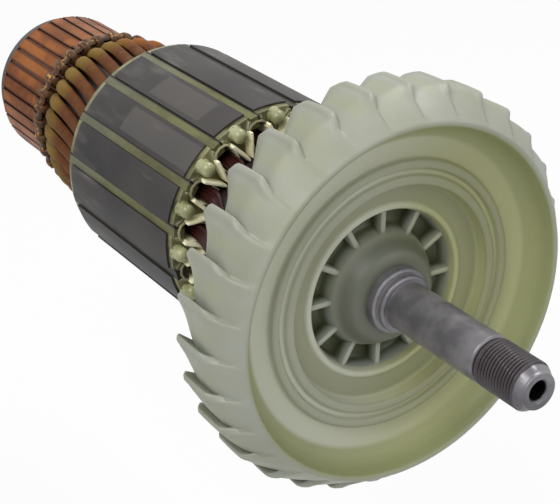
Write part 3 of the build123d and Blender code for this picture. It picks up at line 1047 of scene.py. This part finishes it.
def blade_loop(x):
    """The blade's section at a place along the shaft, as a closed loop of points."""
    behind = x - BLADE_REAR
    half = BLADE_HALF * (EDGE_THIN + (1 - EDGE_THIN) * sqrt(min(behind / EDGE_RUN, 1.0)))
    setback = TIP_CUT * (1 - ramp(behind, -1.5, 3.2)) + TIP_LEAN * (1 - ramp(behind, 0, 9))
    heel = between(x, HEEL) - HEEL_CUT * (1 - min(behind / HEEL_CUT_RUN, 1.0))
    reach = min(OUTER_REACH, heel * 0.8)
    edge, fall = between(x, EDGE), between(x, STEP)
    inner = max(PETAL_FLOOR, edge - fall - PETAL_WALL)
    flare, ending = ramp(x, -18.5, -10.5), ramp(x, -6.8, -2.8)
    rows = []
    for step in range(TIP_STEPS + 1):
        share = step / TIP_STEPS
        across = half * sin(radians(180 * share - 90))
        round_off = half - half * cos(radians(180 * share - 90)) * 0.9
        along = setback + round_off + 0.55 * across
        corner = (inner + (edge - inner) * share**0.7, CORNER_ANGLE - CORNER_TURN * (1 - share**2))
        rows.append(((along, across), corner, ending))
    near, far = rows[0][0][0], rows[-1][0][0]
    for step in range(1, OUTER_STEPS + 1):
        share = step / OUTER_STEPS
        petal = (edge - fall * share, CORNER_ANGLE + PETAL_SPAN * share)
        rows.append(((far + (reach - far) * share, half), petal, flare))
    for step in range(1, HEEL_STEPS + 1):
        share = step / HEEL_STEPS
        petal = (edge - fall - (edge - fall - inner) * share, CORNER_ANGLE + PETAL_SPAN)
        rows.append(((reach + (heel - reach) * share, half), petal, ending))
    for step in range(INNER_STEPS - 1, 0, -1):
        share = step / INNER_STEPS
        petal = (inner, CORNER_ANGLE - CORNER_TURN + (PETAL_SPAN + CORNER_TURN) * share)
        rows.append(((near + (heel - near) * share, -half), petal, ending))
    loop = []
    for (along, across), petal, weight in rows:
        plain = BLADE_TIP + blade_run * along + blade_side * across
        spot = plain * (1 - weight) + across_shaft(*petal) * weight
        loop.append(Vector((x, *spot)) * MM)
    return loop


print("a blade's section has", len(blade_loop(BLADE_REAR)), "points")

# %% [markdown]
# The sections stand closer together where the shape changes fast: at the rounded rear edge and in the
# plate's rim. One blade is skinned, and the dividing head makes the ring.

# %% Fan blades
blade_places = [BLADE_REAR, -17.22, -17.0, -16.7, -16.4, -15.5, -14.5, -13.3, -12.2, -11.2, -10.2]
blade_places += [-9.4, -8.6, -7.9, -7.2, -6.5, -5.8, -5.2, -4.6, -4.0, -3.4, -2.8, -2.1, -1.4]
blade_places += [-0.7, 0.0, 0.6]
blade_mesh = skin("blade", [blade_loop(x) for x in blade_places], sharp_above=70)
ring_of(
    "fan_blades", blade_mesh, BLADES, BLADE_START, fan_material, ["cooling_fan"], 70
)

# %% [markdown]
# Twelve ribs cross the ring of pockets round the hub. They are thin walls with rounded tops.

# %% Ribs in the pockets
RIBS = 12
RIB_START = 29.2


def wall_between(name, inner, outer, low_x, high_x, width, steps=4):
    """A radial wall at the top of the shaft with a rounded crest towards +X."""
    loops = []
    half = width / 2
    for radius in (inner, outer):
        loop = [Vector((low_x, half, radius)), Vector((low_x, -half, radius))]
        for step in range(steps + 1):
            turn = pi * step / steps
            loop.append(Vector((high_x - half + half * sin(turn), -half * cos(turn), radius)))
        loops.append([point * MM for point in loop])
    return skin(name, loops)


rib_mesh = wall_between("rib", inner=10.6, outer=17.4, low_x=-12.2, high_x=-8.5, width=1.5)
ring_of("fan_ribs", rib_mesh, RIBS, RIB_START, fan_material, ["cooling_fan"])

# %% [markdown]
# The shaft is one long turned bar. A helix is a radius that depends on both the angle and the place
# along the shaft, so the thread is cut by adding a groove of the right phase to each point of the
# turned skin, instead of cutting a spiral out of a bar.

# %% Rule of the thread
THREAD_PITCH = 0.78
THREAD_DEPTH = 0.5
THREAD_RADIUS = 4.95
THREAD_FROM = 26.7
THREAD_TO = 36.7
CHAMFER_LENGTH = 1.6
CREST_FLAT = 0.15
RUN_IN = 0.5
CUT_BEYOND = 4.0


def thread_rule(x, angle, radius):
    """The radius of the shaft with its thread cut; inside the centre hole nothing is cut."""
    if radius < CUT_BEYOND or not THREAD_FROM < x < THREAD_TO + CHAMFER_LENGTH:
        return radius
    phase = (x / THREAD_PITCH - angle / 360) % 1.0
    groove = max(0.0, abs(phase - 0.5) * 2 - CREST_FLAT) / (1 - CREST_FLAT)
    depth = THREAD_DEPTH * ramp(x, THREAD_FROM, THREAD_FROM + RUN_IN)
    return min(radius, THREAD_RADIUS - depth * groove)


print("thread with", round((THREAD_TO - THREAD_FROM) / THREAD_PITCH, 1), "turns")

# %% Shaft with its thread
THREAD_STEPS = 130
REAR_SEAT_FRONT = -157.8

rear_and_middle = eased([
    (shaft_rear + 5.0, 0.02, 0),
    (shaft_rear + 4.4, 1.4, 0),
    (shaft_rear + 0.3, 1.4, 0.1),
    (shaft_rear, 1.8, 0.1),
    (shaft_rear, 3.5, 0.1),
    (shaft_rear + 0.5, 4.0, 0.2),
    (REAR_SEAT_FRONT, 4.0, 0.1),
    (REAR_SEAT_FRONT, 5.2, 0.15),
    (-155.4, 5.2, 0.1),
    (-155.4, 6.0, 0.1),
    (-121.5, 6.0, 0.1),
    (-121.5, 7.0, 0.1),
    (-3.9, 7.0, 0.1),
    (-2.0, 7.0, 0.1),
    (-1.6, 6.6, 0.1),
    (-1.6, 6.1, 0.1),
    (-0.35, 6.1, 0.15),
    (0.0, 5.7, 0.1),
    (0.0, 5.0, 0.1),
    (25.4, 5.0, 0.15),
    (25.8, 4.6, 0.1),
    (25.8, 4.3, 0.1),
    (26.4, 4.3, 0.1),
])
thread_start = 26.5
thread = [
    Vector((thread_start + (THREAD_TO - thread_start) * step / THREAD_STEPS, THREAD_RADIUS))
    for step in range(THREAD_STEPS + 1)
]
tip_corners = [
    (THREAD_TO + 0.05, 4.9, 0),
    (38.2, 3.8, 0.2),
    (shaft_tip, 3.7, 0.25),
    (shaft_tip, 2.5, 0.15),
    (shaft_tip - 0.7, 1.9, 0.15),
    (32.9, 1.85, 0),
    (31.9, 0.02, 0),
]
# The first corner only says from where the next one is eased.
shaft_section = rear_and_middle + thread + eased(tip_corners)[1:]
shaft_loops = turned_loops(shaft_section, 72, thread_rule)
shaft_mesh = skin("shaft_with_thread", shaft_loops, sharp_above=32)
shaft_mesh.materials.append(shaft_material)
settle("shaft_with_thread", shaft_mesh, ["shaft"])

# %% [markdown]
# The front plate has a domed stud over each tooth. The packed studs are eight-sided, and a dome that
# swallowed them would be too big, so the plate is copied and the tops of its studs are drawn in about
# their own middles. The round domes then sit over what is left of them.

# %% Front plate with slim studs
FRONT_FACE = -46.9
STUD_CIRCLE = 25.0
STUDS_BEYOND = 22.9
STUD_NECK = 0.95
STUD_SHRINK = 0.5


def plate_with_slim_studs():
    """The packed front plate, with the tops of its studs drawn in under the rounder ones."""
    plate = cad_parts["front_end_insulator"].data.copy()
    work = bmesh.new()
    work.from_mesh(plate)
    bmesh.ops.remove_doubles(work, verts=work.verts, dist=1e-6)
    for vertex in work.verts:
        x, y, z = vertex.co / MM
        if x > FRONT_FACE + STUD_NECK and sqrt(y * y + z * z) > STUDS_BEYOND:
            tooth = round((degrees(atan2(-y, z)) - TOOTH_START) / SLOT_STEP)
            centre = turned(x, STUD_CIRCLE, TOOTH_START + tooth * SLOT_STEP)
            vertex.co = centre + (vertex.co - centre) * STUD_SHRINK
    work.to_mesh(plate)
    work.free()
    return plate


front_plate = tidy_mesh(plate_with_slim_studs(), 30)
settle("front_plate", front_plate, ["front_end_insulator"])

# %% [markdown]
# A stud is a small turned shape with its own axis beside the shaft's, a neck that widens into a dome, as
# it comes out of the mould. One is turned over the first tooth and the dividing head sets the rest.


# %% Domed studs
def turned_about(outline, centre_radius, columns=20):
    """Loops of a small turned shape whose axis lies at a radius from the shaft."""
    loops = []
    for x, radius in outline:
        turns = [2 * pi * column / columns for column in range(columns)]
        loops.append([
            Vector((x, radius * sin(turn), centre_radius + radius * cos(turn))) * MM for turn in turns
        ])
    return loops


stud_outline = [(FRONT_FACE + x, radius) for x, radius in (
    (-0.3, 1.9), (0.2, 1.75), (0.7, 1.6), (1.2, 1.62), (1.7, 1.66), (2.1, 1.58), (2.5, 1.38),
    (2.8, 1.08), (3.0, 0.72), (3.1, 0.35), (3.12, 0.02),
)]
stud_mesh = skin("stud", turned_about(stud_outline, STUD_CIRCLE), sharp_above=80)
ring_of(
    "end_plate_studs", stud_mesh, SLOTS, TOOTH_START, stud_material,
    sharp_above=80,
)

# %% [markdown]
# The paper of each slot is folded over towards its neighbour, so every stud has a pale V under it, and
# a lip of paper arches over each slot's mouth. Both are rounded bars that follow a path drawn across
# the shaft. They sit on the packed papers and are only a little larger, so that they hide them.


# %% A rounded bar along a path
def bar_along(path, width, high_x, low_x, steps=4):
    """Loops of a rounded bar that follows points (side, height) across the shaft."""
    loops = []
    for index, spot in enumerate(path):
        middle = Vector(spot)
        before = Vector(path[max(index - 1, 0)])
        after = Vector(path[min(index + 1, len(path) - 1)])
        along = (after - before).normalized()
        taper = 0.55 if index in (0, len(path) - 1) else 1.0
        half = width / 2 * taper
        across = Vector((-along.y, along.x)) * half
        loop = [Vector((low_x, *(middle + across))), Vector((low_x, *(middle - across)))]
        for step in range(steps + 1):
            turn = pi * step / steps
            loop.append(Vector((high_x - half + half * sin(turn), *(middle - across * cos(turn)))))
        loops.append([point * MM for point in loop])
    return loops


def mirrored(path):
    return [(-side, height) for side, height in path]


print("bars ready")

# %% Folded ends and arches of the slot papers
FOLD_WIDTH = 0.92
FOLD_BACK = FRONT_FACE - 0.2
ARCH_WIDTH = 0.6

fold_path = [(2.55, 24.3), (2.4, 23.9), (1.9, 22.7), (1.2, 21.0), (0.62, 19.4), (0.5, 19.0)]
folds = joined("folds", [
    skin("fold_right", bar_along(fold_path, FOLD_WIDTH, FRONT_FACE + 2.5, FOLD_BACK)),
    skin("fold_left", bar_along(mirrored(fold_path), FOLD_WIDTH, FRONT_FACE + 2.7, FOLD_BACK)),
])
ring_of("slot_paper_folds", folds, SLOTS, TOOTH_START, paper_material)

arch_side = [(2.75, 21.6), (2.6, 22.9), (2.15, 24.2), (1.3, 25.1), (0.0, 25.45)]
arch_path = arch_side + mirrored(arch_side[-2::-1])
arch_mesh = skin("arch", bar_along(arch_path, ARCH_WIDTH, FRONT_FACE + 1.3, FRONT_FACE - 0.3))
ring_of("slot_mouth_arches", arch_mesh, SLOTS, SLOT_START, arch_material)

# %% [markdown]
# The winding is wire that was laid by machine, tied down by nothing but resin. A lumpy dark body
# stands for the wires deep inside, with one lobe for each slot. Its section is drawn like the fan's,
# and a rule presses it in between the slots.

# %% Body of the winding
BODY_BORE = 8.9
BODY_COLUMNS = 192
LOBE_DEPTH = 1.3
FRONT_LOBES_DEEPER = 2.6
TWIST_FROM = -46
MID_CORE = -60
LOBED_BEYOND = 12


def lobed(twist):
    """A rule that makes one lobe for each slot, turning by so many degrees a millimetre."""
    def rule(x, angle, radius):
        if radius < LOBED_BEYOND:
            return radius
        share = cos(radians((angle - SLOT_START - twist * (x - TWIST_FROM)) * SLOTS))
        deeper = FRONT_LOBES_DEEPER * ramp(x, -43.0, -45.5) if x > MID_CORE else 0.0
        return radius - (LOBE_DEPTH + deeper) * (0.5 - 0.5 * share)
    return rule


front_body = eased([
    (-48.0, BODY_BORE, 0), (-48.0, 21.4, 0.5), (-43.5, 21.3, 2), (-36.0, 19.9, 4),
    (-28.5, 16.2, 3), (-26.6, 13.0, 2), (-26.6, BODY_BORE, 0),
])
rear_body = eased([
    (-94.5, BODY_BORE, 0), (-94.5, 22.4, 0.5), (-100.0, 22.0, 3), (-110.0, 20.4, 4),
    (-118.0, 18.9, 3), (-121.6, 17.6, 2), (-122.6, 14.0, 1), (-122.6, BODY_BORE, 0),
])
body_mesh = joined("winding_body", [
    skin("front_turns", turned_loops(front_body, BODY_COLUMNS, lobed(twist=1.2)), closed=True),
    skin("rear_turns", turned_loops(rear_body, BODY_COLUMNS, lobed(twist=0.5)), closed=True),
])
body_mesh.materials.append(soaked_material)
settle("winding_body", body_mesh, ["winding"])

# %% [markdown]
# Separate wires are laid over the body where they can be seen: fanned end turns at the front, and at
# the back one thick soaked lead to every commutator bar. A wire is a short list of stations, a smooth
# line through them, and an oval carried along that line.


# %% A wire through its stations
def smooth_path(points, steps):
    """Points on a smooth line through stations of (x, radius, angle)."""
    line = []
    padded = [points[0], *points, points[-1]]
    for index in range(len(points) - 1):
        a, b, c, d = (Vector(padded[index + k]) for k in range(4))
        for step in range(steps):
            t = step / steps
            line.append(
                0.5 * (2 * b + (c - a) * t + (2 * a - 5 * b + 4 * c - d) * t**2
                       + (3 * b - a - 3 * c + d) * t**3)
            )
    line.append(Vector(points[-1]))
    return line


def wire_loops(stations, steps, sides, sizes):
    """Loops of a wire; sizes gives its radial and sideways half widths in mm by share of length."""
    spots = [turned(*station) for station in smooth_path(stations, steps)]
    turns = [2 * pi * side / sides for side in range(sides)]
    loops = []
    for index, spot in enumerate(spots):
        along = (spots[min(index + 1, len(spots) - 1)] - spots[max(index - 1, 0)]).normalized()
        outward = Vector((0, spot.y, spot.z)).normalized()
        outward = (outward - along * outward.dot(along)).normalized()
        sideways = along.cross(outward)
        tall, wide = sizes(index / (len(spots) - 1))
        loops.append([
            spot + outward * tall * MM * sin(turn) + sideways * wide * MM * cos(turn)
            for turn in turns
        ])
    return loops


print("wires ready")

# %% [markdown]
# At the front the wires leave a slot in layers, lean over and dive towards the fan. Each is a little out
# of place, by chance with a fixed seed, because no two wires lie alike. One slot's bundle is made and
# repeated for the others.

# %% End turns at the front
WIRE_RADIUS = 0.42
WIRE_LAYERS = ((21.6, 3.4), (20.6, 3.0), (19.4, 2.4))
OUTER_WIRES = 5

chance = random.Random(7)


def front_wire(radius, lift, aside, layer):
    """One wire that leaves the slot, leans over and dives towards the fan."""
    stations = [
        (-49.5, radius + lift, aside * 0.8),
        (-45.5, radius + lift, aside * 0.8),
        (-42.5, radius - 0.2 + lift, aside + 1.5),
        (-39.5, radius - 0.8 + lift, aside + 8 + layer * 2),
        (-35.0, radius - 1.6, aside + 18 + layer * 4),
        (-30.0, radius - 4.2, aside + 32 + layer * 4),
        (-27.6, radius - 6.6, aside + 44 + layer * 4),
    ]
    return skin("wire", wire_loops(stations, 3, 6, lambda share: (WIRE_RADIUS, WIRE_RADIUS)))


front_wires = []
for layer, (radius, spread) in enumerate(WIRE_LAYERS):
    wires = OUTER_WIRES - layer
    for place in range(wires):
        aside = (place - (wires - 1) / 2) * spread * 0.62 + chance.uniform(-0.3, 0.3)
        lift = chance.uniform(-0.3, 0.3)
        front_wires.append(front_wire(radius, lift, aside, layer))
front_mesh = joined("front_wires", front_wires)
ring_of(
    "front_end_turns", front_mesh, SLOTS, SLOT_START, wire_material, ["winding"]
)

# %% [markdown]
# At the back one lead runs from each tang to the core. It starts thin and swells where the resin has
# gathered on it, so its half widths grow along the way.

# %% Leads to the commutator
lead_stations = [
    (-124.5, 18.6, 0), (-123.2, 18.7, 0), (-121.6, 19.1, 0.2), (-119.6, 20.1, 0.6),
    (-117.0, 20.8, 1.2), (-113.5, 20.9, 2.2), (-108.0, 21.0, 4.4), (-102.0, 21.4, 7.5),
    (-96.0, 22.0, 11.0),
]


def lead_sizes(share):
    """A lead starts as a bare wire and swells where the resin gathers on it."""
    swell = ramp(share, 0.06, 0.26) * (1 - 0.2 * ramp(share, 0.35, 0.7))
    return 0.55 + 0.85 * swell, 0.6 + 1.2 * swell


lead_mesh = skin("lead", wire_loops(lead_stations, 4, 10, lead_sizes))
ring_of(
    "commutator_leads", lead_mesh, BARS, BAR_START, lead_material, ["winding"]
)

# %% [markdown]
# Each wire end is laid in the bent tang of its bar, and the tang is pressed down on it with heat. That
# leaves a rounded tang, and between two tangs a short bare stretch of wire that catches the light.
# Both are small soft shapes over the hooks of the packed bars, made like the wires.

# %% Tangs and the wire between them
tang_stations = [
    (-128.9, 19.0, 0), (-128.2, 19.9, 0), (-127.0, 20.5, 0), (-125.6, 20.6, 0),
    (-124.75, 20.2, 0), (-124.5, 18.8, 0),
]
link_stations = [
    (-126.1, 19.75, -5.7), (-126.2, 19.95, -4.0), (-126.3, 20.1, 0),
    (-126.2, 19.95, 4.0), (-126.1, 19.75, 5.7),
]
tang_loops = wire_loops(tang_stations, 3, 10, lambda share: (0.55, 0.92))
link_loops = wire_loops(link_stations, 3, 8, lambda share: (0.6, 1.1))
tang_mesh = skin("tang", tang_loops, sharp_above=70)
link_mesh = skin("link", link_loops, sharp_above=70)
ring_of("bar_tangs", tang_mesh, BARS, BAR_START, tang_material)
ring_of("tang_wires", link_mesh, BARS, BAR_START, tang_material)

# %% [markdown]
# The floor is far enough below for a soft shadow. The background is white because the floor and the
# world answer the camera's rays with white, not because more light falls on the object.

# %% Floor
WHITE = (1, 1, 1, 1)
FLOOR_DROP = 60 * MM
FLOOR_HALF = 3.0
WHITE_SHARE = 0.92


def stage_floor():
    height = cad_low.z - FLOOR_DROP
    sides = ((-1, -1), (1, -1), (1, 1), (-1, 1))
    corners = [(a * FLOOR_HALF, b * FLOOR_HALF, height) for a, b in sides]
    mesh = bpy.data.meshes.new("floor")
    mesh.from_pydata(corners, [], [(0, 1, 2, 3)])
    floor = bpy.data.objects.new("floor", mesh)
    bpy.context.scene.collection.objects.link(floor)
    paper = Finish("pale_floor", roughness=0.9, base_color=linear(232, 232, 232))
    seen = Number(paper, paper.node("ShaderNodeLightPath").outputs["Is Camera Ray"])
    white = paper.node("ShaderNodeEmission", inputs={"Color": WHITE, "Strength": 1.0})
    shaders = {0: seen * WHITE_SHARE, 1: paper.shader.outputs[0], 2: white.outputs[0]}
    blend = paper.node("ShaderNodeMixShader", inputs=shaders)
    paper.fill(paper.tree.nodes["Material Output"].inputs["Surface"], blend.outputs[0])
    mesh.materials.append(paper.material)
    return floor


floor = stage_floor()
print("floor at", round(floor.data.vertices[0].co.z / MM, 1), "mm")

# %% [markdown]
# Three soft lamps do what a photographer's light tent does: one from the left and above gives the form,
# a weak one fills the right side, and a small one behind draws the upper edges. They are aimed at the
# middle of the object.

# %% World and lamps
WORLD_LIGHT = 0.4
# Name, place in metres, side in metres and power in watts.
LAMPS = (
    ("key", (0.15, -0.45, 0.55), 0.5, 3.6),
    ("fill", (0.55, 0.25, 0.35), 0.6, 1.2),
    ("back", (-0.14, 0.28, 0.6), 0.3, 1.9),
)


def white_world():
    """A soft grey light for the object, and white for the camera and in what is glossy."""
    world = bpy.data.worlds.new("studio")
    bpy.context.scene.world = world
    world.use_nodes = True
    graph = Graph(world.node_tree)
    light = graph.tree.nodes["Background"]
    graph.fill(light.inputs["Color"], WHITE)
    graph.fill(light.inputs["Strength"], WORLD_LIGHT)
    backdrop = graph.node("ShaderNodeBackground", inputs={"Color": WHITE})
    rays = graph.node("ShaderNodeLightPath").outputs
    seen = Number(graph, rays["Is Camera Ray"])
    for kind in ("Is Glossy Ray", "Is Transmission Ray"):
        seen = seen.math("MAXIMUM", rays[kind])
    shaders = {0: seen, 1: light.outputs[0], 2: backdrop.outputs[0]}
    blend = graph.node("ShaderNodeMixShader", inputs=shaders)
    graph.fill(graph.tree.nodes["World Output"].inputs["Surface"], blend.outputs[0])


def soft_lamp(name, place, size, power):
    """A square lamp aimed at the middle of the object."""
    data = bpy.data.lights.new(name, "AREA")
    data.size = size
    data.energy = power
    lamp = bpy.data.objects.new(name, data)
    bpy.context.scene.collection.objects.link(lamp)
    aim = (cad_low + cad_high) / 2
    lamp.location = place
    lamp.rotation_euler = (Vector(place) - aim).to_track_quat("Z", "Y").to_euler()


white_world()
for lamp in LAMPS:
    soft_lamp(*lamp)
print("lamps", [name for name, *_ in LAMPS])

# %% [markdown]
